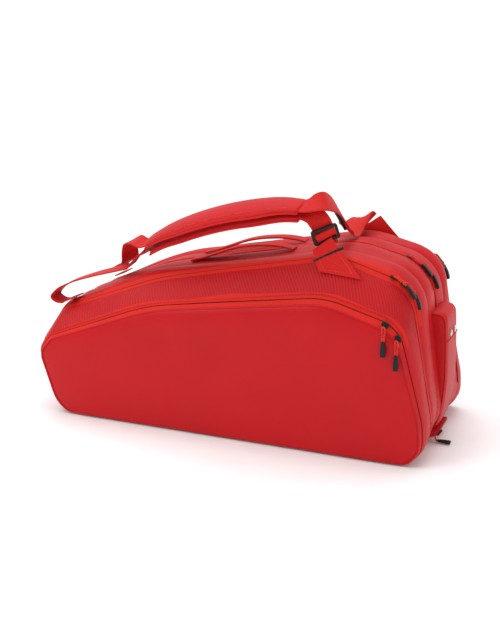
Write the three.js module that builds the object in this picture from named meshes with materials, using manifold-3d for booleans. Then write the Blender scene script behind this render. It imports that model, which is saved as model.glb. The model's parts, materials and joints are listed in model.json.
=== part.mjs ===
// A racket tournament bag: three full-length racket bays side by side, a flat pocket on
// each long face, a small pocket on the wide end, two shoulder straps and two carry handles.
// Millimetres. +X runs from the narrow nose to the wide end, -Y is the front, +Z is up.
// The origin is on the floor under the middle of the bag.

import * as THREE from 'three';
import { mergeVertices } from 'three/addons/utils/BufferGeometryUtils.js';
import Module from 'manifold-3d';

const wasm = await Module();
wasm.setup();

// ---------- driving dimensions ----------

const WALL = 4; // padded fabric wall
const GAP = 0.4; // clearance between touching pieces
const FLOOR_LIFT = 3; // swinging panels stop this far above the floor
const BAND_LIFT = 8; // gusset bands stop this far above the floor
const BAND_REACH = 1; // how far a cutting solid passes a wall

// Distances from the middle plane, the same to the front and to the rear.
const CENTRE_ZIP_Y = 1.4;
const LOBE_Y = 30;
const DIVIDER_IN_Y = 57.8;
const DIVIDER_OUT_Y = 60.7;
const BAY_CREST_Y = 88;
const MAIN_ZIP_Y = 108;
const MAIN_ZIP_HALF_GAP = 1.5;
const BAY_WALL_Y = 144.5;
const BAY_WALL_THICKNESS = 3;
const FOLD_Y = 150;
const PANEL_BACK_Y = 153.6;
const PANEL_EDGE_Y = 158;

// Side outlines as [x, z, corner radius]: bottom nose, bottom end, low end, shoulder,
// crown, knee, top of nose, nose. They all have eight corners, so any two can be lofted.
const PANEL_OUTLINE = [
  [-332, 0, 60], [378, 0, 45], [374, 80, 120], [326, 238, 60],
  [200, 276, 150], [-130, 229, 400], [-346, 147, 22], [-371, 118, 26],
];
const FOLD_OUTLINE = [
  [-336, 0, 60], [382, 0, 48], [378, 80, 120], [332, 256, 60],
  [196, 293, 150], [-150, 236, 400], [-352, 156, 22], [-377, 122, 28],
];
const MAIN_ZIP_OUTLINE = [
  [-338, 0, 60], [385, 0, 60], [382, 80, 150], [338, 309, 70],
  [205, 350, 150], [-130, 277, 450], [-338, 200, 36], [-384, 136, 40],
];
const CREST_OUTLINE = [
  [-338, 0, 60], [386, 0, 75], [384, 90, 200], [350, 326, 85],
  [216, 357, 150], [-165, 283, 350], [-345, 204, 40], [-388, 138, 44],
];
const VALLEY_OUTLINE = [
  [-336, 0, 60], [382, 0, 75], [380, 90, 200], [345, 318, 85],
  [212, 349, 150], [-165, 275, 350], [-340, 197, 40], [-380, 136, 44],
];
const CENTRE_ZIP_OUTLINE = [
  [-337, 0, 60], [383, 0, 75], [381, 90, 200], [346, 321, 85],
  [210, 353, 150], [-165, 278, 350], [-342, 200, 40], [-384, 137, 44],
];
const ARC_STEPS = 4;
const SHOULDER = 3;

const BASE = { x0: -315, x1: 345, halfDepth: 140, radius: 30, thickness: 4 };
const BOARD = { x0: -300, x1: 335, halfDepth: 132, radius: 20, thickness: 3 };

const END_POCKET = { halfWidth: 42, edge: 8, wall: 3, clearance: 1.2 };
const END_POCKET_PROFILE = [
  [340, 247], [382, 248], [388, 238], [391, 190], [394, 125], [389, 70], [378, 30], [340, 26],
];
const SNAP = { radius: 6.5, height: 2.2, x: 390.6, y: -14, z: 206 };

const COIL_RADIUS = 1.1;
const SLIDER = { length: 13, width: 9, height: 3.6, bevel: 0.8, standoff: 4.2 };
const PULL = { cordWidth: 4, cordLength: 26, gripWidth: 8.5, gripLength: 28, thickness: 4.4 };
const PULL_SIDESTEP = 5.5; // the two pulls of a zipper lie side by side

const WEBBING = { width: 38, thickness: 2.4 };
const PAD = { width: 72, thickness: 11, tilt: 17, curveRadius: 95, gap: 4.2 };
const LOCK = { width: 48, height: 27, bar: 5, thickness: 5 };
const LOCK_CLEARANCE = 2; // the webbing bends a little under the lock
const HANDLE = { width: 26, thickness: 3, y: 33 };

// ---------- materials ----------

function fabric(name, color, roughness) {
  return new THREE.MeshStandardMaterial({ name, color, roughness, metalness: 0 });
}

const PANEL_RED = fabric('coated_panel_cloth', 0xd92a35, 0.5);
const RIB_RED = fabric('ribbed_gusset_cloth', 0xc0182f, 0.65);
const LOBE_RED = fabric('gusset_cloth', 0xd83a42, 0.6);
const TAPE_RED = fabric('webbing_and_tape', 0xee4538, 0.75);
const PAD_RED = fabric('padded_cloth', 0xe02a33, 0.7);
const LINING = fabric('lining_cloth', 0x3a3d42, 0.8);
const BOARD_GREY = fabric('stiffener_board', 0x777777, 0.8);
const BLACK = fabric('moulded_black', 0x17181a, 0.45);
const NICKEL = new THREE.MeshStandardMaterial({
  name: 'nickel_snap',
  color: 0xc9c9c6,
  roughness: 0.25,
  metalness: 1,
});

// ---------- outlines ----------

function cornerArc(corners, index) {
  const count = corners.length;
  const point = (i) => new THREE.Vector2(...corners[(i + count) % count].slice(0, 2));
  const here = point(index);
  const back = point(index - 1).sub(here).normalize();
  const ahead = point(index + 1).sub(here).normalize();
  const radius = corners[index][2];
  const half = Math.acos(THREE.MathUtils.clamp(back.dot(ahead), -1, 1)) / 2;
  const toCentre = back.clone().add(ahead).normalize();
  const centre = here.clone().addScaledVector(toCentre, radius / Math.sin(half));
  const start = here.clone().addScaledVector(back, radius / Math.tan(half)).sub(centre);
  const turn = Math.PI - 2 * half;
  return { centre, radius, startAngle: start.angle(), turn };
}

function roundedLoop(corners, steps = ARC_STEPS) {
  const loop = [];
  corners.forEach((_, index) => {
    const arc = cornerArc(corners, index);
    for (let i = 0; i <= steps; i += 1) {
      const angle = arc.startAngle + (arc.turn * i) / steps;
      const spoke = new THREE.Vector2(Math.cos(angle), Math.sin(angle));
      loop.push(arc.centre.clone().addScaledVector(spoke, arc.radius));
    }
  });
  return loop;
}

// Moves every side of a rounded outline inwards, and outwards for a negative distance.
function insetCorners(corners, distance) {
  const count = corners.length;
  return corners.map(([x, z, radius], index) => {
    const before = corners[(index + count - 1) % count];
    const after = corners[(index + 1) % count];
    const inDir = new THREE.Vector2(x - before[0], z - before[1]).normalize();
    const outDir = new THREE.Vector2(after[0] - x, after[1] - z).normalize();
    const normal = new THREE.Vector2(-inDir.y - outDir.y, inDir.x + outDir.x).normalize();
    const stretch = distance / normal.dot(new THREE.Vector2(-inDir.y, inDir.x));
    return [x + normal.x * stretch, z + normal.y * stretch, Math.max(radius - distance, 2)];
  });
}

function blendCorners(a, b, t) {
  return a.map((corner, i) => corner.map((value, k) => THREE.MathUtils.lerp(value, b[i][k], t)));
}

function scaleCorners(corners, factor, centre) {
  return corners.map(([x, z, radius]) => [
    centre.x + (x - centre.x) * factor,
    centre.z + (z - centre.z) * factor,
    radius * factor,
  ]);
}

// ---------- solids ----------

function signedVolume(positions, triangles) {
  const [a, b, c] = [new THREE.Vector3(), new THREE.Vector3(), new THREE.Vector3()];
  let volume = 0;
  for (let i = 0; i < triangles.length; i += 3) {
    a.fromArray(positions, triangles[i] * 3);
    b.fromArray(positions, triangles[i + 1] * 3);
    c.fromArray(positions, triangles[i + 2] * 3);
    volume += a.dot(b.cross(c)) / 6;
  }
  return volume;
}

// Joins closed loops of equal length into one capped solid. The 2-D contour has the
// shape of a loop and is used to cap the ends.
function loft(loops, contour) {
  const positions = loops.flatMap((loop) => loop.flatMap((p) => [p.x, p.y, p.z]));
  const size = loops[0].length;
  const triangles = [];
  for (let ring = 0; ring < loops.length - 1; ring += 1) {
    for (let i = 0; i < size; i += 1) {
      const next = (i + 1) % size;
      const a = ring * size + i;
      const b = ring * size + next;
      triangles.push(a, b, b + size, a, b + size, a + size);
    }
  }
  const lastRing = (loops.length - 1) * size;
  THREE.ShapeUtils.triangulateShape(contour, []).forEach(([a, b, c]) => {
    const forward = THREE.ShapeUtils.area(contour) > 0;
    const [p, q] = forward ? [c, b] : [b, c];
    triangles.push(a, p, q, lastRing + a, lastRing + q, lastRing + p);
  });
  if (signedVolume(positions, triangles) < 0) {
    triangles.reverse();
  }
  const geometry = new THREE.BufferGeometry();
  geometry.setAttribute('position', new THREE.Float32BufferAttribute(positions, 3));
  geometry.setIndex(triangles);
  return geometry;
}

function toSolid(geometry) {
  const bare = geometry.clone();
  bare.deleteAttribute('normal');
  bare.deleteAttribute('uv');
  const merged = mergeVertices(bare, 1e-4);
  return new wasm.Manifold(
    new wasm.Mesh({
      numProp: 3,
      vertProperties: new Float32Array(merged.attributes.position.array),
      triVerts: new Uint32Array(merged.index.array),
    }),
  );
}

function toGeometry(solid) {
  const mesh = solid.getMesh();
  const geometry = new THREE.BufferGeometry();
  geometry.setAttribute('position', new THREE.BufferAttribute(mesh.vertProperties, 3));
  geometry.setIndex(new THREE.BufferAttribute(mesh.triVerts, 1));
  return geometry;
}

function box(x0, x1, y0, y1, z0, z1) {
  const geometry = new THREE.BoxGeometry(x1 - x0, y1 - y0, z1 - z0);
  geometry.translate((x0 + x1) / 2, (y0 + y1) / 2, (z0 + z1) / 2);
  return toSolid(geometry);
}

function cutBelow(solid, height) {
  return solid.subtract(box(-500, 500, -300, 300, -100, height));
}

// A solid with the side outlines given at distances y from the middle plane.
function sideLoft(stations, side) {
  const loops = stations.map(({ y, corners }) =>
    roundedLoop(corners).map((p) => new THREE.Vector3(p.x, side * y, p.y)),
  );
  return toSolid(loft(loops, roundedLoop(stations[0].corners)));
}

// A fabric wall that follows the side outlines over the top of the bag and down both ends.
function band(stations, side) {
  const inner = stations.map(({ y, corners }) => ({ y, corners: insetCorners(corners, WALL) }));
  inner[0] = { ...inner[0], y: inner[0].y - BAND_REACH };
  const last = inner.length - 1;
  inner[last] = { ...inner[last], y: inner[last].y + BAND_REACH };
  const shell = sideLoft(stations, side).subtract(sideLoft(inner, side));
  return toGeometry(cutBelow(shell, BAND_LIFT));
}

function plate(corners, y0, y1, side, lift) {
  const solid = sideLoft([{ y: y0, corners }, { y: y1, corners }], side);
  return toGeometry(cutBelow(solid, lift));
}

function roundedRectangle(x0, x1, y0, y1, radius) {
  const shape = new THREE.Shape();
  shape.absarc(x1 - radius, y0 + radius, radius, -Math.PI / 2, 0);
  shape.absarc(x1 - radius, y1 - radius, radius, 0, Math.PI / 2);
  shape.absarc(x0 + radius, y1 - radius, radius, Math.PI / 2, Math.PI);
  shape.absarc(x0 + radius, y0 + radius, radius, Math.PI, Math.PI * 1.5);
  return shape;
}

function slab(size, z0) {
  const shape = roundedRectangle(size.x0, size.x1, -size.halfDepth, size.halfDepth, size.radius);
  const settings = { depth: size.thickness, bevelEnabled: false, curveSegments: 4 };
  return new THREE.ExtrudeGeometry(shape, settings).translate(0, 0, z0);
}

// Sweeps a 2-D section along a path. Its first axis lies along `across` and its second
// along `up`, both given for each point of the path.
function sweep(points, frames, section) {
  const loops = points.map((point, i) =>
    section(i).map((p) =>
      point.clone().addScaledVector(frames[i].across, p.x).addScaledVector(frames[i].up, p.y),
    ),
  );
  return loft(loops, section(Math.floor(points.length / 2)));
}

function vector(list) {
  return new THREE.Vector3(...list);
}

// Frames along a path whose width stays as near as it can to the given directions,
// which are spread evenly along the path.
function ribbonFrames(points, widths) {
  return points.map((point, i) => {
    const before = points[Math.max(i - 1, 0)];
    const after = points[Math.min(i + 1, points.length - 1)];
    const along = after.clone().sub(before).normalize();
    const place = (i / (points.length - 1)) * (widths.length - 1);
    const key = Math.min(Math.floor(place), widths.length - 2);
    const across = vector(widths[key]).lerp(vector(widths[key + 1]), place - key);
    across.addScaledVector(along, -across.dot(along)).normalize();
    return { across, along, up: along.clone().cross(across).normalize() };
  });
}

function ribbonPoints(route, steps) {
  const curve = new THREE.CatmullRomCurve3(route.map(vector), false, 'centripetal');
  return curve.getSpacedPoints(steps);
}

function webbing(route, widths, steps, width = WEBBING.width) {
  const points = ribbonPoints(route, steps);
  const frames = ribbonFrames(points, widths);
  const [w, t] = [width / 2, WEBBING.thickness / 2];
  const corners = [[-w, -t], [w, -t], [w, t], [-w, t]];
  const section = corners.map(([x, y]) => new THREE.Vector2(x, y));
  return sweep(points, frames, () => section);
}

// ---------- assembly ----------

const bag = new THREE.Group();

function add(name, geometry, material) {
  const mesh = new THREE.Mesh(geometry, material.clone());
  mesh.name = name;
  bag.add(mesh);
  return mesh;
}

const SIDES = [
  { name: 'front', sign: -1 },
  { name: 'rear', sign: 1 },
];

// ----- floor -----

add('bottom_panel', slab(BASE, 0), LOBE_RED);
add('stiffener_board', slab(BOARD, BASE.thickness + GAP), BOARD_GREY);

// ----- bays -----

function addBay({ name, sign }) {
  const centreStations = [
    { y: CENTRE_ZIP_Y, corners: CENTRE_ZIP_OUTLINE },
    { y: LOBE_Y, corners: CREST_OUTLINE },
    { y: DIVIDER_IN_Y - GAP, corners: VALLEY_OUTLINE },
  ];
  add(`centre_gusset_${name}`, band(centreStations, sign), LOBE_RED);

  const divider = plate(VALLEY_OUTLINE, DIVIDER_IN_Y, DIVIDER_OUT_Y, sign, BAND_LIFT);
  add(`divider_${name}`, divider, LINING);

  const innerStations = [
    { y: DIVIDER_OUT_Y + GAP, corners: VALLEY_OUTLINE },
    { y: BAY_CREST_Y, corners: CREST_OUTLINE },
    { y: MAIN_ZIP_Y - MAIN_ZIP_HALF_GAP, corners: MAIN_ZIP_OUTLINE },
  ];
  add(`${name}_inner_gusset`, band(innerStations, sign), LOBE_RED);

  const outerStations = [
    { y: MAIN_ZIP_Y + MAIN_ZIP_HALF_GAP, corners: MAIN_ZIP_OUTLINE },
    { y: FOLD_Y, corners: FOLD_OUTLINE },
  ];
  add(`${name}_ribbed_gusset`, band(outerStations, sign), RIB_RED);

  const wallY = BAY_WALL_Y + BAY_WALL_THICKNESS;
  const wall = plate(insetCorners(FOLD_OUTLINE, WALL + 4 * GAP), BAY_WALL_Y, wallY, sign, BAND_LIFT);
  add(`${name}_bay_wall`, wall, LINING);
}

SIDES.forEach(addBay);

// ----- crowned pocket panels -----

function addPocketPanel({ name, sign }) {
  const middle = { x: 20, z: 120 };
  const stations = [
    { y: PANEL_BACK_Y, corners: PANEL_OUTLINE },
    { y: PANEL_EDGE_Y, corners: PANEL_OUTLINE },
    { y: PANEL_EDGE_Y + 3, corners: scaleCorners(PANEL_OUTLINE, 0.975, middle) },
    { y: PANEL_EDGE_Y + 6, corners: scaleCorners(PANEL_OUTLINE, 0.89, middle) },
    { y: PANEL_EDGE_Y + 8, corners: scaleCorners(PANEL_OUTLINE, 0.7, middle) },
  ];
  const panel = toGeometry(cutBelow(sideLoft(stations, sign), FLOOR_LIFT));
  add(`${name}_pocket_panel`, panel, PANEL_RED);
}

SIDES.forEach(addPocketPanel);

// ----- zipper coils -----

function coil(corners, y, firstCorner, lastCorner, start, end) {
  const loop = roundedLoop(insetCorners(corners, COIL_RADIUS));
  const perCorner = ARC_STEPS + 1;
  const points = loop
    .slice(firstCorner * perCorner, (lastCorner + 1) * perCorner)
    .map((p) => new THREE.Vector3(p.x, y, p.y));
  const path = new THREE.CatmullRomCurve3(points, false, 'centripetal');
  const steps = 30;
  const samples = [];
  for (let i = 0; i <= steps; i += 1) {
    samples.push(path.getPointAt(THREE.MathUtils.lerp(start, end, i / steps)));
  }
  const frames = ribbonFrames(samples, [[0, 1, 0], [0, 1, 0]]);
  const section = [];
  for (let i = 0; i < 6; i += 1) {
    const angle = (i * Math.PI) / 3;
    section.push(new THREE.Vector2(COIL_RADIUS * Math.cos(angle), COIL_RADIUS * Math.sin(angle)));
  }
  return sweep(samples, frames, () => section);
}

const POCKET_COIL_OUTLINE = blendCorners(PANEL_OUTLINE, FOLD_OUTLINE, 0.5);
const POCKET_COIL_Y = (FOLD_Y + PANEL_BACK_Y) / 2;

SIDES.forEach(({ name, sign }) => {
  const pocketCoil = coil(POCKET_COIL_OUTLINE, sign * POCKET_COIL_Y, 2, 6, 0.12, 0.97);
  add(`${name}_pocket_coil`, pocketCoil, TAPE_RED);
  const mainCoil = coil(MAIN_ZIP_OUTLINE, sign * MAIN_ZIP_Y, 2, 6, 0.05, 0.97);
  add(`${name}_main_coil`, mainCoil, TAPE_RED);
});
add('centre_coil', coil(CENTRE_ZIP_OUTLINE, 0, 2, 6, 0.2, 0.97), TAPE_RED);

// ----- end pocket -----

function endPocketShape(inset) {
  const sign = THREE.ShapeUtils.area(END_POCKET_PROFILE.map(([x, z]) => new THREE.Vector2(x, z)));
  const corners = END_POCKET_PROFILE.map(([x, z]) => [x, z, 4]);
  const ccw = sign > 0 ? corners : corners.reverse();
  return insetCorners(ccw, inset).map(([x, z]) => new THREE.Vector2(x, z));
}

function endPocketBlock(inset, halfWidth) {
  const stations = [
    [-halfWidth, END_POCKET.edge],
    [-halfWidth + END_POCKET.edge / 2, END_POCKET.edge / 4],
    [-halfWidth + END_POCKET.edge, 0],
    [halfWidth - END_POCKET.edge, 0],
    [halfWidth - END_POCKET.edge / 2, END_POCKET.edge / 4],
    [halfWidth, END_POCKET.edge],
  ];
  const loops = stations.map(([y, extra]) =>
    endPocketShape(inset + extra).map((p) => new THREE.Vector3(p.x, y, p.y)),
  );
  return toSolid(loft(loops, endPocketShape(inset)));
}

function endPocketCover() {
  const outer = endPocketBlock(0, END_POCKET.halfWidth);
  const inner = endPocketBlock(END_POCKET.wall, END_POCKET.halfWidth - END_POCKET.wall);
  const body = [1, -1].map((sign) =>
    sideLoft(
      [
        { y: -BAND_REACH, corners: insetCorners(CENTRE_ZIP_OUTLINE, -END_POCKET.clearance) },
        { y: LOBE_Y, corners: insetCorners(CREST_OUTLINE, -END_POCKET.clearance) },
        { y: DIVIDER_IN_Y, corners: insetCorners(VALLEY_OUTLINE, -END_POCKET.clearance) },
      ],
      sign,
    ),
  );
  return toGeometry(outer.subtract(inner).subtract(body[0]).subtract(body[1]));
}

add('end_pocket_cover', endPocketCover(), LOBE_RED);

function snapGeometry() {
  const profile = [
    [0, 0], [SNAP.radius, 0], [SNAP.radius, SNAP.height * 0.5],
    [SNAP.radius * 0.75, SNAP.height], [0, SNAP.height],
  ].map(([r, h]) => new THREE.Vector2(r, h));
  const geometry = new THREE.LatheGeometry(profile, 16);
  geometry.rotateZ(-Math.PI / 2);
  return geometry;
}

const snap = add('end_pocket_snap', snapGeometry(), NICKEL);
snap.position.set(SNAP.x, SNAP.y, SNAP.z);

// ----- zipper sliders and pulls -----

// A point on the shoulder arc of an outline, `angle` degrees above the horizontal.
function shoulderPoint(corners, angle, outward) {
  const arc = cornerArc(corners, SHOULDER);
  const turn = THREE.MathUtils.degToRad(angle);
  const normal = new THREE.Vector3(Math.cos(turn), 0, Math.sin(turn));
  const centre = new THREE.Vector3(arc.centre.x, 0, arc.centre.y);
  return { centre, normal, point: centre.clone().addScaledVector(normal, arc.radius + outward) };
}

function sliderGeometry() {
  const { length, width, height, bevel } = SLIDER;
  const half = { x: length / 2 - bevel, y: width / 2 - bevel };
  const shape = roundedRectangle(-half.x, half.x, -half.y, half.y, 2);
  const settings = {
    depth: height - 2 * bevel,
    bevelSize: bevel,
    bevelThickness: bevel,
    bevelSegments: 1,
    curveSegments: 2,
  };
  return new THREE.ExtrudeGeometry(shape, settings).translate(0, 0, bevel - height / 2);
}

// Turns a piece made with X along the zipper and Z out of the bag to the given frame.
function place(mesh, point, along, outward) {
  const across = outward.clone().cross(along).normalize();
  const basis = new THREE.Matrix4().makeBasis(along, across, outward);
  mesh.quaternion.setFromRotationMatrix(basis);
  mesh.position.copy(point);
}

// A bent pull: it follows the shoulder at a constant height and lies flat on it.
function bentPull(radius) {
  const { cordWidth, cordLength, gripWidth, gripLength, thickness } = PULL;
  const arm = (from, to, width) => {
    const shape = new THREE.Shape();
    shape.absarc(0, 0, radius + thickness, from / radius, to / radius, false);
    shape.absarc(0, 0, radius, to / radius, from / radius, true);
    const settings = { depth: width, bevelEnabled: false, curveSegments: 3 };
    return toSolid(new THREE.ExtrudeGeometry(shape, settings).translate(0, 0, -width / 2));
  };
  const cord = arm(0, cordLength + 1, cordWidth);
  const grip = arm(cordLength, cordLength + gripLength, gripWidth);
  return toGeometry(cord.add(grip)).rotateX(-Math.PI / 2);
}

function straightPull(cordLength, gripLength) {
  const { cordWidth, gripWidth, thickness } = PULL;
  const half = thickness / 2;
  const cord = box(-cordWidth / 2, cordWidth / 2, -half, half, -cordLength - 1, 0);
  const gripEnd = -cordLength - gripLength;
  const grip = box(-gripWidth / 2, gripWidth / 2, -half, half, gripEnd, -cordLength);
  return toGeometry(cord.add(grip));
}

function addShoulderZip(name, corners, y, angles) {
  angles.forEach((angle, i) => {
    const label = `${name}_${i === 0 ? 'upper' : 'lower'}`;
    const { centre, normal, point } = shoulderPoint(corners, angle, SLIDER.standoff);
    const along = new THREE.Vector3(0, 1, 0).cross(normal);
    const slider = add(`${label}_slider`, sliderGeometry(), BLACK);
    place(slider, point.setY(y), along, normal);

    const arc = cornerArc(corners, SHOULDER);
    const pullRadius = arc.radius + SLIDER.standoff + SLIDER.height / 2 + GAP;
    const pull = add(`${label}_pull`, bentPull(pullRadius), BLACK);
    pull.position.set(centre.x, y + (i === 0 ? -1 : 1) * PULL_SIDESTEP, centre.z);
    pull.rotation.y = -THREE.MathUtils.degToRad(angle);
  });
}

const MAIN_SLIDER_ANGLES = [66, 50];
addShoulderZip('front_main', MAIN_ZIP_OUTLINE, -MAIN_ZIP_Y, MAIN_SLIDER_ANGLES);
addShoulderZip('centre', CENTRE_ZIP_OUTLINE, 0, MAIN_SLIDER_ANGLES);
addShoulderZip('rear_main', MAIN_ZIP_OUTLINE, MAIN_ZIP_Y, MAIN_SLIDER_ANGLES);

const POCKET_SLIDER_ANGLES = [62, 32];
const POCKET_SLIDER_Y = 157.5;
const POCKET_PULL_Y = 168.6;

function addPocketZip({ name, sign, angles }) {
  angles.forEach((angle, i) => {
    const label = `${name}_pocket_${i === 0 ? 'upper' : 'lower'}`;
    const { normal, point } = shoulderPoint(POCKET_COIL_OUTLINE, angle, 1);
    const along = new THREE.Vector3(0, 1, 0).cross(normal);
    const outward = normal.clone().multiplyScalar(0.35).add(new THREE.Vector3(0, sign, 0));
    const slider = add(`${label}_slider`, sliderGeometry(), BLACK);
    place(slider, point.clone().setY(sign * POCKET_SLIDER_Y), along, outward.normalize());
    const geometry = straightPull(PULL.cordLength, PULL.gripLength);
    const pull = add(`${label}_pull`, geometry, BLACK);
    pull.position.set(point.x, sign * POCKET_PULL_Y, point.z);
  });
}

addPocketZip({ ...SIDES[0], angles: POCKET_SLIDER_ANGLES });
addPocketZip({ ...SIDES[1], angles: POCKET_SLIDER_ANGLES.slice(0, 1) });

// The end pocket's slider is parked at the foot of the pocket, its pull lying on the floor.
const END_SLIDER = { x: 384, y: -34, z: 21, tilt: 55 };
const endSlider = add('end_pocket_slider', sliderGeometry(), BLACK);
const endTilt = THREE.MathUtils.degToRad(END_SLIDER.tilt);
place(
  endSlider,
  new THREE.Vector3(END_SLIDER.x, END_SLIDER.y, END_SLIDER.z),
  new THREE.Vector3(-Math.cos(endTilt), 0, -Math.sin(endTilt)),
  new THREE.Vector3(Math.sin(endTilt), 0, -Math.cos(endTilt)),
);
const endPull = add('end_pocket_pull', straightPull(10, 24), BLACK);
endPull.rotation.y = -Math.PI / 2;
endPull.position.set(END_SLIDER.x - 13, END_SLIDER.y, 4.9);

// ----- shoulder straps -----

// The rear strap's pad lies on the front strap's pad. Both lean towards the front.
const PAD_ROUTE = [
  [-181, -70, 332], [-127, -78, 365], [-61, -88, 394],
  [22, -100, 420], [101, -110, 434], [149, -116, 435.5],
];
const PAD_STEPS = 14;
const PAD_TILT = THREE.MathUtils.degToRad(PAD.tilt);
const PAD_ACROSS = [0, Math.cos(PAD_TILT), Math.sin(PAD_TILT)];

function padSection(widthScale) {
  const half = (PAD.width / 2) * widthScale;
  const radius = PAD.curveRadius;
  const thick = (PAD.thickness / 2) * (0.75 + 0.25 * widthScale);
  const top = [];
  const bottom = [];
  for (let i = -3; i <= 3; i += 1) {
    const x = (half * i) / 3;
    const drop = radius - Math.sqrt(radius * radius - x * x);
    const edge = Math.abs(i) === 3 ? 0.35 : 1;
    top.push(new THREE.Vector2(x, thick * edge - drop));
    bottom.unshift(new THREE.Vector2(x, -thick * edge - drop));
  }
  return top.concat(bottom);
}

function padGeometry(drop) {
  const points = ribbonPoints(PAD_ROUTE, PAD_STEPS);
  const frames = ribbonFrames(points, [PAD_ACROSS, PAD_ACROSS]);
  const shifted = points.map((p, i) => p.clone().addScaledVector(frames[i].up, -drop));
  const widthScale = (i) => {
    const fromEnd = Math.min(i, PAD_STEPS - i) / PAD_STEPS;
    return THREE.MathUtils.lerp(0.68, 1, THREE.MathUtils.smoothstep(fromEnd, 0, 0.3));
  };
  return sweep(shifted, frames, (i) => padSection(widthScale(i)));
}

add('rear_strap_pad', padGeometry(0), PAD_RED);
add('front_strap_pad', padGeometry(PAD.thickness + PAD.gap), PAD_RED);

// Each stretch of webbing has its route, and the direction of its width along the way.
const WEB_STRETCHES = {
  front_strap_web_left: {
    route: [[-187, -65, 315], [-195, -61, 311], [-207, -57, 300], [-219, -54, 287]],
    widths: [[0, 1, 0.3], [0, 1, 0]],
    steps: 6,
  },
  front_strap_loop_left: {
    route: [
      [-226, -53, 279], [-245, -58, 273], [-290, -74, 261], [-331, -90, 247], [-356, -99, 232],
      [-365, -102, 218], [-354, -102, 210], [-343, -102, 209],
    ],
    widths: [[0, 1, 0], [0, 1, 0]],
    steps: 18,
  },
  front_strap_web_right: {
    route: [
      [154, -111.6, 421.5], [163, -110, 418], [173, -108, 408], [179, -105, 394],
      [183, -101, 378], [186, -98, 365],
    ],
    widths: [
      [0, 1, 0.3], [0.5, 0.78, 0.45], [0.75, 0.42, 0.49], [0.75, 0.42, 0.49], [0.67, 0.5, 0.55],
    ],
    steps: 12,
  },
  rear_strap_web_left: {
    route: [[-187.5, -70, 330.5], [-205, -66, 334], [-224, -50, 327], [-240, -28, 303]],
    widths: [[0, 1, 0.3], [0.35, 0.9, 0.2]],
    steps: 8,
  },
  rear_strap_loop_left: {
    route: [
      [-244, -20, 292], [-256, 2, 276], [-280, 36, 262], [-308, 70, 246], [-328, 90, 232],
      [-336, 100, 221],
    ],
    widths: [[0.4, 0.9, 0.2], [0.9, 0.4, 0.4]],
    steps: 14,
  },
  rear_strap_web_right: {
    route: [
      [154.5, -116, 436.5], [166, -115, 441], [179, -102, 443], [185, -74, 434], [187, -40, 413],
      [187, -4, 384],
    ],
    widths: [
      [0, 1, 0.3], [-0.3, 0.6, 0.5], [-0.53, 0, 0.85], [-0.53, 0, 0.85], [-0.53, 0, 0.85],
    ],
    steps: 14,
  },
  rear_strap_loop_right: {
    route: [[187, 8, 371], [188, 28, 365], [186, 48, 366], [188, 68, 374], [196, 88, 379]],
    widths: [[0.7, 0.1, -0.6], [0.8, 0.2, -0.1], [0.65, 0.5, 0.4]],
    steps: 12,
  },
};
Object.entries(WEB_STRETCHES).forEach(([name, { route, widths, steps }]) => {
  add(name, webbing(route, widths, steps), TAPE_RED);
});

// Sewn tabs: wide where they are sewn into the ribbed gusset's seam, narrow at the bar.
function tabGeometry({ base, top }) {
  const steps = 4;
  const loops = [];
  for (let i = 0; i <= steps; i += 1) {
    const left = vector(base[0]).lerp(vector(top[0]), i / steps);
    const right = vector(base[1]).lerp(vector(top[1]), i / steps);
    const along = vector(top[0]).add(vector(top[1])).sub(vector(base[0])).sub(vector(base[1]));
    const up = right.clone().sub(left).cross(along).normalize();
    const half = WEBBING.thickness / 2;
    loops.push([
      left.clone().addScaledVector(up, -half),
      right.clone().addScaledVector(up, -half),
      right.clone().addScaledVector(up, half),
      left.clone().addScaledVector(up, half),
    ]);
  }
  const contour = [[-1, -1], [1, -1], [1, 1], [-1, 1]].map((p) => new THREE.Vector2(...p));
  return loft(loops, contour);
}

function barGeometry(centre, direction, length) {
  const geometry = new THREE.CylinderGeometry(2.5, 2.5, length, 8);
  const turn = new THREE.Quaternion();
  turn.setFromUnitVectors(new THREE.Vector3(0, 1, 0), vector(direction).normalize());
  return geometry.applyQuaternion(turn).translate(...centre);
}

const FRONT_TAB = {
  base: [[182, -131, 326], [257, -129, 319]],
  top: [[166, -125, 361], [194, -106, 382]],
};
const REAR_TAB = {
  base: [[200, 131, 323], [272, 129, 316]],
  top: [[189, 102, 357], [217, 123, 377]],
};
const BAR = { length: 48, front: [190, -107, 359.6], rear: [206, 108, 366] };
const BAR_DIRECTION = [0.67, 0.5, 0.55];

add('front_strap_tab', tabGeometry(FRONT_TAB), TAPE_RED);
add('front_strap_bar', barGeometry(BAR.front, BAR_DIRECTION, BAR.length), BLACK);
add('rear_strap_tab', tabGeometry(REAR_TAB), TAPE_RED);
add('rear_strap_bar', barGeometry(BAR.rear, BAR_DIRECTION, BAR.length), BLACK);

// Short folded tabs that hold the narrow ends of the straps.
SIDES.forEach(({ name, sign }) => {
  const y0 = sign * 102 - WEBBING.width / 2;
  const y1 = sign * 102 + WEBBING.width / 2;
  const base = [[-336, y0, 213], [-336, y1, 213]];
  const top = [[-314, y0, 222.5], [-314, y1, 222.5]];
  add(`${name}_strap_anchor_left`, tabGeometry({ base, top }), TAPE_RED);
});

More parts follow.
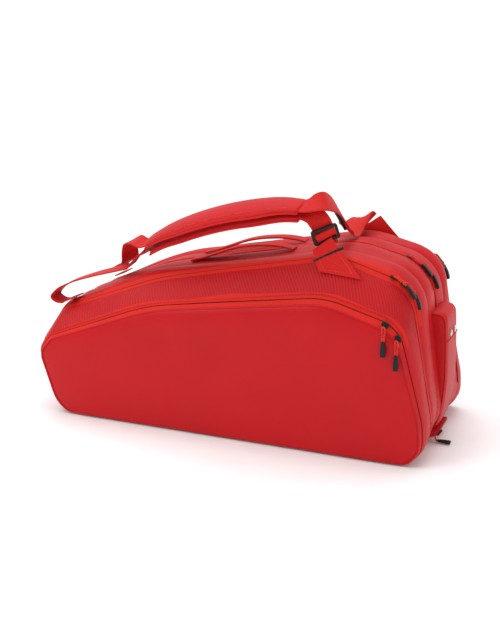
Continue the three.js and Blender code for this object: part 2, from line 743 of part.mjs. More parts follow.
// A ladder lock: a flat frame with a slot on each side of its middle bar.
function lockGeometry() {
  const frame = roundedRectangle(
    -LOCK.width / 2, LOCK.width / 2, -LOCK.height / 2, LOCK.height / 2, 4,
  );
  const slotHeight = (LOCK.height - 3 * LOCK.bar) / 2;
  const slotHalf = LOCK.width / 2 - LOCK.bar;
  [-1, 1].forEach((sign) => {
    const middle = (sign * (slotHeight + LOCK.bar)) / 2;
    const slot = new THREE.Path();
    slot.moveTo(-slotHalf, middle - slotHeight / 2);
    slot.lineTo(slotHalf, middle - slotHeight / 2);
    slot.lineTo(slotHalf, middle + slotHeight / 2);
    slot.lineTo(-slotHalf, middle + slotHeight / 2);
    slot.closePath();
    frame.holes.push(slot);
  });
  const settings = { depth: LOCK.thickness, bevelEnabled: false, curveSegments: 2 };
  return new THREE.ExtrudeGeometry(frame, settings).translate(0, 0, -LOCK.thickness / 2);
}

// The lock lies on one face of its webbing, at a fraction of the way along it.
function addLock(name, stretch, fraction, face) {
  const { route, widths, steps } = WEB_STRETCHES[stretch];
  const points = ribbonPoints(route, steps);
  const index = Math.round(fraction * steps);
  const { across, along, up } = ribbonFrames(points, widths)[index];
  const lock = add(name, lockGeometry(), BLACK);
  const basis = new THREE.Matrix4().makeBasis(across, along.clone().negate(), up);
  lock.quaternion.setFromRotationMatrix(basis);
  const offset = face * (WEBBING.thickness / 2 + LOCK.thickness / 2 + LOCK_CLEARANCE);
  lock.position.copy(points[index]).addScaledVector(up, offset);
}

addLock('front_ladder_lock', 'front_strap_web_right', 0.66, 1);
addLock('rear_ladder_lock', 'rear_strap_web_right', 0.78, -1);

// ----- carry handles -----

const HANDLE_ROUTE = [[-102, 298], [-72, 307], [-5, 332], [50, 341], [80, 341], [102, 338]];
SIDES.forEach(({ name, sign }) => {
  const route = HANDLE_ROUTE.map(([x, z]) => [x, sign * HANDLE.y, z]);
  const strap = webbing(route, [[0, 1, 0], [0, 1, 0]], 16, HANDLE.width);
  add(`${name}_carry_handle`, strap, PAD_RED);
});

// The origin goes to the middle of the bag's footprint.
bag.updateMatrixWorld(true);
const footprint = new THREE.Box3().setFromObject(bag).getCenter(new THREE.Vector3());
bag.position.set(-footprint.x, -footprint.y, 0);

export default bag;
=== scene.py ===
# %% [markdown]
# # A racket tournament bag
# The bag is a soft red box for rackets. It has three long bays side by side, a flat pocket
# on each long face, a small pocket on the wide end, two carry handles and two padded
# shoulder straps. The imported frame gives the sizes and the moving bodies. This lesson lays
# cloth, webbing, zippers and pads over that frame.

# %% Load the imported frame
import json
from math import atan2, cos, pi, radians, sin, sqrt, tan
import bpy
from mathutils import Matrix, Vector, noise

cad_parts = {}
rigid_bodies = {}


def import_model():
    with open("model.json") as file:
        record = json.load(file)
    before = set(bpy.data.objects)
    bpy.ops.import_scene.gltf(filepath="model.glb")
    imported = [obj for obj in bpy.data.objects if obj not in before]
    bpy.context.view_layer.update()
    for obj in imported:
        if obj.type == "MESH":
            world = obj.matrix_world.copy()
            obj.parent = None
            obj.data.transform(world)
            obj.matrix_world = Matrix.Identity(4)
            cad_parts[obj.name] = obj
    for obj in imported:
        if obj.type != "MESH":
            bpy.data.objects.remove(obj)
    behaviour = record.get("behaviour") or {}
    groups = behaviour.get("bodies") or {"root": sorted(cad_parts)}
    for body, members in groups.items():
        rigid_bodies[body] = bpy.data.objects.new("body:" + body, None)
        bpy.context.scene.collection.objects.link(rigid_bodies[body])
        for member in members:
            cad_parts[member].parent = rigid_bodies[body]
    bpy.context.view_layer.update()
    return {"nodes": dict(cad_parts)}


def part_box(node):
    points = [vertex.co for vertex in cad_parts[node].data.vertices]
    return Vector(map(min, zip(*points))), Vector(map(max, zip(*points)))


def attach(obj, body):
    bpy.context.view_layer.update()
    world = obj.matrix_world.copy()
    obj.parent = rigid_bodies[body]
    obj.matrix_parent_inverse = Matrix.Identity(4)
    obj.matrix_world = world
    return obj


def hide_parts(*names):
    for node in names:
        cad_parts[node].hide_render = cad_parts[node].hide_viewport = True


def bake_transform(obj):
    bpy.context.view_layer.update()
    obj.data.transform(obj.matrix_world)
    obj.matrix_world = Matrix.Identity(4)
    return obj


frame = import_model()

# %% [markdown]
# ## Camera, floor and light
# The camera stands 2.2 m away, turned 22 degrees towards the wide end and 17 degrees up.
# It is placed first, so that every later piece can be judged from one fixed view.

# %% Camera
TARGET = Vector((-0.011, 0, 0.19))
TURN, RISE, DISTANCE = radians(22), radians(17), 2.2
towards = Vector((sin(TURN) * cos(RISE), -cos(TURN) * cos(RISE), sin(RISE)))
camera_data = bpy.data.cameras.new("studio_camera")
camera_data.lens = 65.7
camera = bpy.data.objects.new("studio_camera", camera_data)
camera.location = TARGET + towards * DISTANCE
camera.rotation_euler = towards.to_track_quat("Z", "Y").to_euler()
bpy.context.scene.collection.objects.link(camera)
bpy.context.scene.camera = camera
print("camera at", [round(v, 3) for v in camera.location])

# %% [markdown]
# A soft light in front and above, a weaker one from the wide end, a broad light from the
# ceiling and a pale world give the flat studio look of a product picture. The floor is one pale sheet.

# %% Lights and floor
def studio_light(name, place, size, power):
    data = bpy.data.lights.new(name, "AREA")
    data.size = size
    data.energy = power
    light = bpy.data.objects.new(name, data)
    light.location = place
    light.rotation_euler = (Vector(place) - TARGET).to_track_quat("Z", "Y").to_euler()
    bpy.context.scene.collection.objects.link(light)
    return light


studio_light("key_light", (-1.5, -1.8, 2.0), 1.2, 20)
studio_light("end_light", (2.4, -0.5, 1.3), 1.2, 6)
ceiling = bpy.data.lights.new("ceiling_light", "SUN")
ceiling.energy = 1.5
ceiling.angle = radians(50)
ceiling_light = bpy.data.objects.new("ceiling_light", ceiling)
ceiling_light.rotation_euler = (radians(-12), radians(-10), 0)
bpy.context.scene.collection.objects.link(ceiling_light)

world = bpy.data.worlds.new("pale_room")
world.use_nodes = True
world.node_tree.nodes["Background"].inputs["Color"].default_value = (1, 1, 1, 1)
world.node_tree.nodes["Background"].inputs["Strength"].default_value = 0.72
bpy.context.scene.world = world
bpy.context.scene.view_settings.view_transform = "Standard"  # shows the dyed colours as picked

# %% [markdown]
# ## Materials
# Colours are written as sRGB hex values, as a colour picker shows them. Blender's shaders
# want linear light, so one function turns them over.

# %% Colour and node helpers
MM = 0.001


def linear(hex_colour):
    parts = [int(hex_colour[i : i + 2], 16) / 255 for i in (0, 2, 4)]
    return [p / 12.92 if p <= 0.04045 else ((p + 0.055) / 1.055) ** 2.4 for p in parts] + [1]


def add_node(tree, kind, values=None, links=None, **settings):
    node = tree.nodes.new(kind)
    for key, value in settings.items():
        setattr(node, key, value)
    for socket, value in (values or {}).items():
        node.inputs[socket].default_value = value
    for socket, source in (links or {}).items():
        tree.links.new(source, node.inputs[socket])
    return node


def wave_scale(period_mm):
    """A wave texture's scale for bands of this period on coordinates in metres."""
    return 2 * pi / 20 / (period_mm * MM)


print("a red in linear light:", [round(v, 3) for v in linear("d9222b")])

# %% [markdown]
# Every cloth on the bag is a woven polyester, with a different thread and coating. One
# function builds them all: a slow noise for uneven dye, fine bands for the threads, and
# broader bands for ribs where the weave has them, with painted shade in the rib grooves.
# Thread bands follow the cloth's own UV map, which is laid out in metres, and CAD pieces
# without one use Object coordinates.

# %% Woven cloth
def woven_cloth(
    name, colour, shade, thread_mm, rib_mm=0, rib_turn=0, rib_depth=0, roughness=0.6,
    sheen=0.25, source="UV", thread_depth=0.35,
):
    material = bpy.data.materials.new(name)
    material.use_nodes = True
    tree = material.node_tree
    shader = tree.nodes["Principled BSDF"]
    shader.inputs["Roughness"].default_value = roughness
    shader.inputs["IOR"].default_value = 1.5
    shader.inputs["Specular IOR Level"].default_value = 0.25
    shader.inputs["Sheen Weight"].default_value = sheen
    shader.inputs["Sheen Roughness"].default_value = 0.4
    where = add_node(tree, "ShaderNodeTexCoord").outputs[source]
    body = add_node(tree, "ShaderNodeTexCoord").outputs["Object"]
    dye = add_node(tree, "ShaderNodeTexNoise", {"Scale": 14, "Detail": 3}, {"Vector": body})
    tint = add_node(
        tree, "ShaderNodeMixRGB", {"Color1": linear(shade), "Color2": linear(colour)},
        {"Fac": dye.outputs["Fac"]},
    )
    warp = add_node(
        tree, "ShaderNodeTexWave", {"Scale": wave_scale(thread_mm)}, {"Vector": where},
        bands_direction="X",
    )
    weft = add_node(
        tree, "ShaderNodeTexWave", {"Scale": wave_scale(thread_mm)}, {"Vector": where},
        bands_direction="Y",
    )
    threads = add_node(
        tree, "ShaderNodeMath", links={0: warp.outputs["Fac"], 1: weft.outputs["Fac"]},
        operation="MAXIMUM",
    )
    bump = add_node(
        tree, "ShaderNodeBump", {"Strength": thread_depth, "Distance": 0.4 * MM},
        {"Height": threads.outputs[0]},
    )
    last_colour = tint.outputs["Color"]
    if rib_mm:
        turned = add_node(
            tree, "ShaderNodeMapping", {"Rotation": (0, 0, radians(rib_turn))},
            {"Vector": where},
        )
        ribs = add_node(
            tree, "ShaderNodeTexWave", {"Scale": wave_scale(rib_mm)},
            {"Vector": turned.outputs[0]}, bands_direction="X",
        )
        bump = add_node(
            tree, "ShaderNodeBump", {"Strength": 0.8, "Distance": rib_depth * MM},
            {"Height": ribs.outputs["Fac"], "Normal": bump.outputs["Normal"]},
        )
        # Painted shade: the rib grooves take the darker colour, as if shaded.
        painted_groove_shade = add_node(
            tree, "ShaderNodeMixRGB", {"Color1": linear(shade), "Fac": 0.5},
            {"Fac": ribs.outputs["Fac"], "Color2": last_colour},
        )
        last_colour = painted_groove_shade.outputs["Color"]
    tree.links.new(last_colour, shader.inputs["Base Color"])
    tree.links.new(bump.outputs["Normal"], shader.inputs["Normal"])
    return material


# Polyester with a smooth coating: a soft broad gloss and hardly any thread.
panel_polyester = woven_cloth(
    "coated_polyester", "c4000e", "b2000b", 2.4, roughness=0.42, sheen=0, thread_depth=0.15,
)
# Ribbed twill: steep diagonal ribs five millimetres apart that catch the light one by one.
ribbed_twill = woven_cloth(
    "ribbed_twill", "cc0410", "ae020d", 2, rib_mm=5, rib_turn=-32, rib_depth=0.7, roughness=0.5,
    sheen=0.05,
)
# Brushed polyester on the lobes: paler where its short nap scatters the light.
lobe_polyester = woven_cloth("brushed_polyester", "c8040f", "b2020d", 2.4, roughness=0.5, sheen=0.04)
# Flat nylon webbing: cross ribs along its length, drawn at 3 mm so that they show.
nylon_webbing = woven_cloth(
    "nylon_webbing", "dc140c", "c40f0a", 1.6, rib_mm=3, rib_turn=0, rib_depth=0.5, roughness=0.6,
    sheen=0.05,
)
# Zipper tape: a fine polyester twill, a little more orange than the cloth beside it.
zipper_tape = woven_cloth(
    "zipper_tape", "e2200f", "cc1a0c", 2, rib_mm=3, rib_depth=0.25, roughness=0.65, sheen=0.05,
)
# Soft padded knit on the shoulder pads, matt and even.
padded_knit = woven_cloth("padded_knit", "cc0812", "b4060e", 3, roughness=0.65, sheen=0.1, source="Object")
# Plain nylon taffeta that lines the bays.
lining_taffeta = woven_cloth("lining_taffeta", "43464c", "303238", 3, roughness=0.6, source="Object")
# Brushed polyester for CAD pieces, whose pattern follows Object coordinates.
floor_polyester = woven_cloth(
    "floor_polyester", "cc0a0c", "b4080a", 3, roughness=0.65, sheen=0.05, source="Object",
)
print("cloths:", [m.name for m in bpy.data.materials if m.users == 0])

# %% [markdown]
# The hard pieces are moulded black acetal, a dull nickel snap and a grey polypropylene
# board. Moulded acetal has a faint satin grain. Nickel plate is a metal, so it takes its
# colour from its own reflection and keeps the default IOR.

# %% Hard materials
def moulded(name, colour, roughness, metallic, grain_mm, grain_depth):
    material = bpy.data.materials.new(name)
    material.use_nodes = True
    tree = material.node_tree
    shader = tree.nodes["Principled BSDF"]
    shader.inputs["Metallic"].default_value = metallic
    if not metallic:
        shader.inputs["Specular IOR Level"].default_value = 0.3
    where = add_node(tree, "ShaderNodeTexCoord").outputs["Object"]
    grain = add_node(
        tree, "ShaderNodeTexNoise", {"Scale": 1 / (grain_mm * MM), "Detail": 2}, {"Vector": where},
    )
    gloss = add_node(
        tree, "ShaderNodeMapRange", {"To Min": roughness - 0.06, "To Max": roughness + 0.06},
        {"Value": grain.outputs["Fac"]},
    )
    tone = add_node(
        tree, "ShaderNodeMixRGB",
        {"Color1": linear(colour), "Color2": [min(v * 1.25, 0.95) for v in linear(colour)[:3]] + [1]},
        {"Fac": grain.outputs["Fac"]},
    )
    bump = add_node(
        tree, "ShaderNodeBump", {"Strength": 0.3, "Distance": grain_depth * MM},
        {"Height": grain.outputs["Fac"]},
    )
    tree.links.new(tone.outputs["Color"], shader.inputs["Base Color"])
    tree.links.new(gloss.outputs["Result"], shader.inputs["Roughness"])
    tree.links.new(bump.outputs["Normal"], shader.inputs["Normal"])
    return material


black_acetal = moulded("moulded_acetal", "0a0a0c", 0.4, 0, 1.2, 0.05)
nickel_plate = moulded("nickel_plate", "b9b7b0", 0.25, 1, 2, 0.02)
board_polypropylene = moulded("polypropylene_board", "8a8a8a", 0.5, 0, 3, 0.05)
floor_paper = moulded("pale_paper", "f4f4f4", 0.8, 0, 40, 0.01)
red_thread = woven_cloth("red_thread", "ea3a2c", "cc2418", 1, rib_mm=4, rib_depth=0.8, roughness=0.6)
red_cord = woven_cloth("braided_cord", "e62a14", "cc2210", 1.2, rib_mm=2.4, rib_turn=35, rib_depth=0.5)
print("hard materials ready")

# %% [markdown]
# ## The floor

# %% Studio floor
bpy.ops.object.select_all(action="DESELECT")
bpy.ops.mesh.primitive_plane_add(size=80, location=(0, 0, 0))
studio_floor = bpy.context.object
studio_floor.name = "studio_floor"
studio_floor.data.materials.append(floor_paper)
print("floor is", studio_floor.dimensions.x, "m wide")

# %% [markdown]
# ## The side outlines
# Seen from the side, the bag has eight rounded corners. The same eight are given at each
# seam across the bag, in millimetres as [x, z, radius], so cloth can be laid between any
# two of them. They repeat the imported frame's own shape.

# %% Outlines
SHIFT = -11.07  # the frame's origin is under the middle of its footprint
CENTRE_ZIP = [
    (-337, 0, 60), (383, 0, 75), (381, 90, 200), (346, 321, 85),
    (210, 353, 150), (-165, 278, 350), (-342, 200, 40), (-384, 137, 44),
]
CREST = [
    (-338, 0, 60), (386, 0, 75), (384, 90, 200), (350, 326, 85),
    (216, 357, 150), (-165, 283, 350), (-345, 204, 40), (-388, 138, 44),
]
VALLEY = [
    (-336, 0, 60), (382, 0, 75), (380, 90, 200), (345, 318, 85),
    (212, 349, 150), (-165, 275, 350), (-340, 197, 40), (-380, 136, 44),
]
MAIN_ZIP = [
    (-338, 0, 60), (385, 0, 60), (382, 80, 150), (338, 309, 70),
    (205, 350, 150), (-130, 277, 450), (-338, 200, 36), (-384, 136, 40),
]
FOLD = [
    (-336, 0, 60), (382, 0, 48), (378, 80, 120), (332, 256, 60),
    (196, 293, 150), (-150, 236, 400), (-352, 156, 22), (-377, 122, 28),
]
PANEL = [
    (-332, 0, 60), (378, 0, 45), (374, 80, 120), (326, 238, 60),
    (200, 276, 150), (-130, 229, 400), (-346, 147, 22), (-371, 118, 26),
]
ARC_STEPS, STRAIGHT_STEPS = 8, 12


def between(first, second, share):
    return [
        tuple(a + (b - a) * share for a, b in zip(p, q)) for p, q in zip(first, second)
    ]


def corner_arc(corners, index):
    x, z, radius = corners[index]
    here = Vector((x, z))
    back = (Vector(corners[index - 1][:2]) - here).normalized()
    ahead = (Vector(corners[(index + 1) % len(corners)][:2]) - here).normalized()
    half = back.angle(ahead) / 2
    centre = here + (back + ahead).normalized() * (radius / sin(half))
    start = here + back * (radius / tan(half)) - centre
    first, turn = atan2(start.y, start.x), pi - 2 * half
    angles = [first + turn * i / ARC_STEPS for i in range(ARC_STEPS + 1)]
    return [centre + Vector((cos(a), sin(a))) * radius for a in angles]


def side_path(corners, order=(1, 2, 3, 4, 5, 6, 7, 0), closed=False):
    arcs = [corner_arc(corners, i) for i in order]
    path = []
    for i, arc in enumerate(arcs):
        path += arc
        if i < len(arcs) - 1 or closed:
            after = arcs[(i + 1) % len(arcs)][0]
            path += [arc[-1].lerp(after, k / STRAIGHT_STEPS) for k in range(1, STRAIGHT_STEPS)]
    return path + ([path[0]] if closed else [])


print("one side path has", len(side_path(CREST)), "points")

# %% [markdown]
# ## Laying cloth
# A sheet of cloth starts as a flat grid, with one row for each ring of points. Its vertices
# are moved onto the rings, its UV map gets the real lengths along and across the sheet, and
# Solidify gives it a thickness.

# %% The cloth layer
def bag_point(x, y, z):
    return Vector((x + SHIFT, y, z)) * MM


def pick(piece):
    bpy.ops.object.select_all(action="DESELECT")
    piece.select_set(True)
    bpy.context.view_layer.objects.active = piece


def lay_cloth(name, rings, material, thickness=0, offset=-0.5, inside=None, tube=False):
    """Lays a grid on the rings. `inside` is a point, or a list of one per ring, that the
    sheet turns its back to."""
    rows, columns = len(rings), len(rings[0])
    bpy.ops.object.select_all(action="DESELECT")
    bpy.ops.mesh.primitive_grid_add(
        x_subdivisions=columns - 1, y_subdivisions=rows - 1, size=1, location=(0, 0, 0)
    )
    piece = bpy.context.object
    piece.name = name
    mesh = piece.data
    mesh.vertices.foreach_set("co", [c for ring in rings for p in ring for c in p])
    along, across = [0], [0]
    middle = rings[rows // 2]
    for a, b in zip(middle, middle[1:]):
        along.append(along[-1] + (b - a).length)
    for a, b in zip(rings, rings[1:]):
        across.append(across[-1] + (b[columns // 2] - a[columns // 2]).length)
    uv = mesh.uv_layers.active.data
    for loop in mesh.loops:
        row, column = divmod(loop.vertex_index, columns)
        uv[loop.index].uv = (along[column], across[row])
    mesh.update()
    if inside is not None:
        facing = 0
        for face in mesh.polygons:
            row = face.vertices[0] // columns
            back = inside[min(row, len(inside) - 1)] if isinstance(inside, list) else inside
            facing += (face.center - back).dot(face.normal) * face.area
        if facing < 0:
            mesh.flip_normals()
    pick(piece)
    if tube:
        bpy.ops.object.mode_set(mode="EDIT")
        bpy.ops.mesh.select_all(action="SELECT")
        bpy.ops.mesh.remove_doubles(threshold=0.00002)
        bpy.ops.mesh.normals_make_consistent(inside=False)
        bpy.ops.object.mode_set(mode="OBJECT")
    if thickness:
        solid = piece.modifiers.new("cloth", "SOLIDIFY")
        solid.thickness = thickness * MM
        solid.offset = offset
        bpy.ops.object.modifier_apply(modifier=solid.name)
    bpy.ops.object.shade_smooth_by_angle(angle=radians(50))
    mesh.materials.clear()
    mesh.materials.append(material)
    return piece


def dye_below(piece, material, height):
    """Gives another cloth to the faces at the wide end that lie below a height in metres."""
    piece.data.materials.append(material)
    for face in piece.data.polygons:
        if face.center.x > 0.25 and face.center.z < height:
            face.material_index = 1


MIDDLE = bag_point(20, 0, 150)
print("the bag's middle is", [round(v, 3) for v in MIDDLE])

# %% [markdown]
# ## The three bays
# Between two seams the padded cloth swells into a lobe, so the roof is a row of soft
# ridges. The swell rises quickly beside a seam and is flat on top. Slow noise makes it
# sag unevenly, and short puckers gather where the seam thread pulls the cloth in.

# %% Cloth between two seams
def ring_at(corners, y, push=0.0, low=5.0, sag=0.0, pucker=0.0):
    """One row of a sheet: the side path at y, pushed outwards by some millimetres."""
    points = []
    for i, p in enumerate(side_path(corners)):
        spoke = (p - Vector((20, 150))).normalized()
        ripple = sag * noise.noise(Vector((p.x * 0.012, y * 0.03, p.y * 0.012)))
        gather = pucker * sin(i * 2.1 + y) * noise.noise(Vector((p.x * 0.05, y, p.y * 0.05)))
        spot = p + spoke * (push + ripple + gather)
        points.append(bag_point(spot.x, y, max(spot.y, low)))
    return points


def swollen(first, second, crest, share):
    flat = between(first, second, share)
    middle = between(first, second, 0.5)
    swell = max(sin(pi * share), 0) ** 0.55
    return [
        tuple(f + (c - m) * swell for f, c, m in zip(p, q, r))
        for p, q, r in zip(flat, crest, middle)
    ]


SEAM_Y, MAIN_ZIP_Y, FOLD_Y = 59.2, 108.0, 150.0
ROWS = 16


def lobe_corners(y):
    y = abs(y)
    if y <= SEAM_Y:
        return swollen(CENTRE_ZIP, VALLEY, CREST, y / SEAM_Y)
    if y <= MAIN_ZIP_Y:
        return swollen(VALLEY, MAIN_ZIP, CREST, (y - SEAM_Y) / (MAIN_ZIP_Y - SEAM_Y))
    return between(MAIN_ZIP, FOLD, (y - MAIN_ZIP_Y) / (FOLD_Y - MAIN_ZIP_Y))


def lobe_rings(start, end, side):
    rings = []
    for i in range(ROWS + 1):
        share = i / ROWS
        edge = min(share, 1 - share)
        y = start + (end - start) * (1 - cos(pi * share)) / 2
        rings.append(
            ring_at(
                lobe_corners(y), side * y, sag=3.2 * sin(pi * share),
                pucker=1.6 if 0.02 < edge < 0.25 else 0,
            )
        )
    return rings


for name, side in (("front", -1), ("rear", 1)):
    rings = lobe_rings(1.9, SEAM_Y, side) + lobe_rings(SEAM_Y, 106.6, side)[1:]
    roof = lay_cloth(f"{name}_roof_cloth", rings, lobe_polyester, 3.2, inside=MIDDLE)
    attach(roof, "carcass")
    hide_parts(f"centre_gusset_{name}", f"{name}_inner_gusset")
    print(roof.name, len(roof.data.polygons), "faces")

# %% [markdown]
# ## The ribbed gussets
# The outer strip of each outer bay is a stiffer ribbed twill. It slopes down from the zipper
# to the fold at the face, and bulges a little in between.

# %% Ribbed gussets
RIBS_END = 0.228  # the ribbed cloth stops here at the wide end, in metres


def gusset_rings(side):
    rings = []
    for i in range(ROWS + 1):
        share = i / ROWS
        y = 109.4 + (FOLD_Y - 109.4) * share
        bulge = 3.5 * sin(pi * share) ** 0.8
        rings.append(ring_at(lobe_corners(y), side * y, push=bulge, low=8.5, sag=2.5 * sin(pi * share)))
    return rings


for name, side in (("front", -1), ("rear", 1)):
    gusset = lay_cloth(f"{name}_ribbed_twill", gusset_rings(side), ribbed_twill, 3.2, inside=MIDDLE)
    dye_below(gusset, lobe_polyester, RIBS_END)
    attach(gusset, f"{name}_bay_flap")
    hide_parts(f"{name}_ribbed_gusset")
    print(gusset.name, len(gusset.data.polygons), "faces")

# %% [markdown]
# ## The pocket panels
# Each long face is one foam-backed panel. It is nearly flat in the middle and turns over
# quickly at its edge. The rings run from the middle of its back, round the edge, to the
# middle of its front.

# %% Pocket panels
PANEL_MIDDLE = Vector((20, 120))
PANEL_BACK_Y, PANEL_EDGE_Y, CROWN = 153.6, 158.0, 8.2


def panel_ring(scale, y, side, sag=0.0):
    points = []
    for p in side_path(PANEL, closed=True):
        spot = PANEL_MIDDLE + (p - PANEL_MIDDLE) * scale
        dent = sag * noise.noise(Vector((spot.x * 0.009, spot.y * 0.009, side)))
        points.append(bag_point(spot.x, side * (y + dent), max(spot.y, 3.2)))
    return points


def crown_height(scale):
    return CROWN * (1 - scale**7) ** 0.6


panels = {}
for name, side in (("front", -1), ("rear", 1)):
    rings = [panel_ring(s, PANEL_BACK_Y, side) for s in (0.001, 0.5, 0.9, 0.985)]
    rings += [panel_ring(1, PANEL_BACK_Y + 1, side), panel_ring(1, PANEL_EDGE_Y - 0.6, side)]
    for i in range(1, 29):
        scale = max(1 - (i / 28) ** 1.7, 0.001)
        rings.append(panel_ring(scale, PANEL_EDGE_Y + crown_height(scale), side, sag=1.5 * (1 - scale**6)))
    panel = lay_cloth(f"{name}_face_panel", rings, panel_polyester, tube=True)
    for loop in panel.data.loops:
        spot = panel.data.vertices[loop.vertex_index].co
        panel.data.uv_layers.active.data[loop.index].uv = (spot.x, spot.z)
    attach(panel, f"{name}_pocket_flap")
    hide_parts(f"{name}_pocket_panel")
    panels[name] = panel
    print(panel.name, len(panel.data.polygons), "faces")

# %% [markdown]
# ## Piping
# A round cord in a strip of cloth is sewn into the panel's edge. It is a thin tube that
# follows the same path. A tube is a sheet whose rows close on themselves.

# %% Tubes
def tube_rings(path, radius, sides=8, closed=False):
    rings = []
    count = len(path)
    across = None
    for i, point in enumerate(path):
        before = path[i - 1] if i or closed else path[0]
        after = path[(i + 1) % count] if i < count - 1 or closed else path[-1]
        ahead = (after - before).normalized()
        if across is None:
            across = ahead.orthogonal()
        across = (across - ahead * across.dot(ahead)).normalized()
        up = ahead.cross(across)
        size = radius(i) if callable(radius) else radius
        turns = [2 * pi * k / sides for k in range(sides)]
        ring = [point + (across * cos(a) + up * sin(a)) * size * MM for a in turns]
        rings.append(ring + [ring[0]])
    return rings


def tube(name, path, radius, material, sides=8, closed=False):
    rings = tube_rings(path, radius, sides, closed)
    if closed:
        rings.append(rings[0])
    else:
        rings = [[path[0]] * (sides + 1)] + rings + [[path[-1]] * (sides + 1)]
    return lay_cloth(name, rings, material, tube=True)


for name, side in (("front", -1), ("rear", 1)):
    path = [
        bag_point(p.x, side * (PANEL_EDGE_Y + 0.6), max(p.y, 5)) for p in side_path(PANEL, closed=True)
    ][:-1]
    piping = tube(f"{name}_panel_piping", path, 2.1, panel_polyester, closed=True)
    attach(piping, f"{name}_pocket_flap")
    print(piping.name, "is", round(sum((b - a).length for a, b in zip(path, path[1:])), 2), "m long")

# %% [markdown]
# ## Zippers
# A zipper is two woven tapes with a coil between them. Each tape lies on the cloth beside
# it and moves with that cloth, so a zipper can part. The coil's teeth are a fine ribbing,
# dark partly in their own colour and partly as painted shade of the zipper's seam.

# %% Tapes and coils
FIRST = ARC_STEPS + STRAIGHT_STEPS  # the zippers start above the floor corner
POCKET_FIRST = 5  # the pocket's seam starts within it
POCKET_ZIP_END, MAIN_ZIP_END = 0.215, 0.245  # below these heights, in metres, a seam goes on
# Coil colour: partly the coil's own dark red, partly painted shade of the seam it sits in.
coil_teeth = woven_cloth(
    "coil_teeth", "a80c0c", "5c0406", 1.2, rib_mm=3.2, rib_depth=0.9, roughness=0.4,
)


def strip(name, rows, material, thickness, body, replaces=()):
    piece = lay_cloth(name, rows, material, thickness, inside=MIDDLE)
    dye_below(piece, lobe_polyester, POCKET_ZIP_END if "pocket" in name else MAIN_ZIP_END)
    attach(piece, body)
    if replaces:
        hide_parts(*replaces)
    return piece


def tape_rows(stations, side, lift, first=FIRST):
    return [ring_at(corners, side * y, push=lift, low=8)[first:-first] for y, corners in stations]


for name, side in (("front", -1), ("rear", 1)):
    flap = f"{name}_bay_flap"
    inner = [(y, lobe_corners(y)) for y in (101.5, 103.5, 105.5, 107.6)]
    strip(f"{name}_bay_tape_in", tape_rows(inner, side, 1.9), zipper_tape, 0.9, "carcass")
    outer = [(y, lobe_corners(y)) for y in (108.4, 110, 112, 113.5)]
    strip(f"{name}_bay_tape_out", tape_rows(outer, side, 2.8), zipper_tape, 0.9, flap)
    teeth = [(y, lobe_corners(y)) for y in (107, 107.5, 108, 108.5, 109)]
    rows = [tape_rows([s], side, lift)[0] for s, lift in zip(teeth, (1.0, 1.6, 1.9, 1.6, 1.0))]
    strip(f"{name}_bay_coil", rows, coil_teeth, 1.2, flap, [f"{name}_main_coil"])

    outer = [
        (144, lobe_corners(144)), (149, lobe_corners(149)), (151.6, between(PANEL, FOLD, 0.58)),
    ]
    rows = tape_rows(outer, side, 2.4, POCKET_FIRST)
    strip(f"{name}_pocket_tape_out", rows, zipper_tape, 0.9, flap)
    inner = [(152.3, between(PANEL, FOLD, 0.5)), (155.5, between(PANEL, FOLD, 0.2)), (158.5, PANEL)]
    rows = tape_rows(inner, side, 1.6, POCKET_FIRST)
    strip(f"{name}_pocket_tape_in", rows, zipper_tape, 0.9, f"{name}_pocket_flap")
    teeth = [(y, between(PANEL, FOLD, share)) for y, share in ((151, 0.6), (152, 0.5), (153, 0.45))]
    rows = [
        tape_rows([s], side, lift, POCKET_FIRST)[0] for s, lift in zip(teeth, (0.8, 1.4, 0.8))
    ]
    strip(f"{name}_pocket_coil_teeth", rows, coil_teeth, 1.2, flap, [f"{name}_pocket_coil"])

    centre = [(y, lobe_corners(y)) for y in (0.5, 2, 4, 6)]
    strip(f"{name}_centre_tape", tape_rows(centre, side, 1.9), zipper_tape, 0.9, "carcass")
rows = [
    tape_rows([(abs(y), lobe_corners(y))], -1 if y < 0 else 1, lift)[0]
    for y, lift in ((-1, 1.0), (-0.5, 1.6), (0, 1.9), (0.5, 1.6), (1, 1.0))
]
strip("centre_coil_teeth", rows, coil_teeth, 1.2, "carcass", ["centre_coil"])
print("zipper strips:", len([o for o in bpy.data.objects if "tape" in o.name or "coil" in o.name]))

# %% [markdown]
# ## Webbing
# Straps and handles are flat woven webbing. Each follows a smooth route, and its width
# turns along the way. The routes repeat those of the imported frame, in millimetres.

# %% Routes and webbing
def smooth_route(stops, count):
    """Evenly spaced points on a centripetal Catmull-Rom curve through the stops."""
    p = [Vector(s) for s in stops]
    p = [p[0] * 2 - p[1]] + p + [p[-1] * 2 - p[-2]]
    dense = []
    for a, b, c, d in zip(p, p[1:], p[2:], p[3:]):
        t = [0]
        for u, v in ((a, b), (b, c), (c, d)):
            t.append(t[-1] + sqrt((v - u).length))
        for k in range(24):
            s = t[1] + (t[2] - t[1]) * k / 24
            ab = a.lerp(b, (s - t[0]) / (t[1] - t[0]))
            bc = b.lerp(c, (s - t[1]) / (t[2] - t[1]))
            cd = c.lerp(d, (s - t[2]) / (t[3] - t[2]))
            abc = ab.lerp(bc, (s - t[0]) / (t[2] - t[0]))
            bcd = bc.lerp(cd, (s - t[1]) / (t[3] - t[1]))
            dense.append(abc.lerp(bcd, (s - t[1]) / (t[2] - t[1])))
    dense.append(p[-2])
    reach = [0]
    for u, v in zip(dense, dense[1:]):
        reach.append(reach[-1] + (v - u).length)
    points, k = [], 0
    for i in range(count + 1):
        goal = reach[-1] * i / count
        while k < len(dense) - 2 and reach[k + 1] < goal:
            k += 1
        points.append(dense[k].lerp(dense[k + 1], (goal - reach[k]) / (reach[k + 1] - reach[k])))
    return points


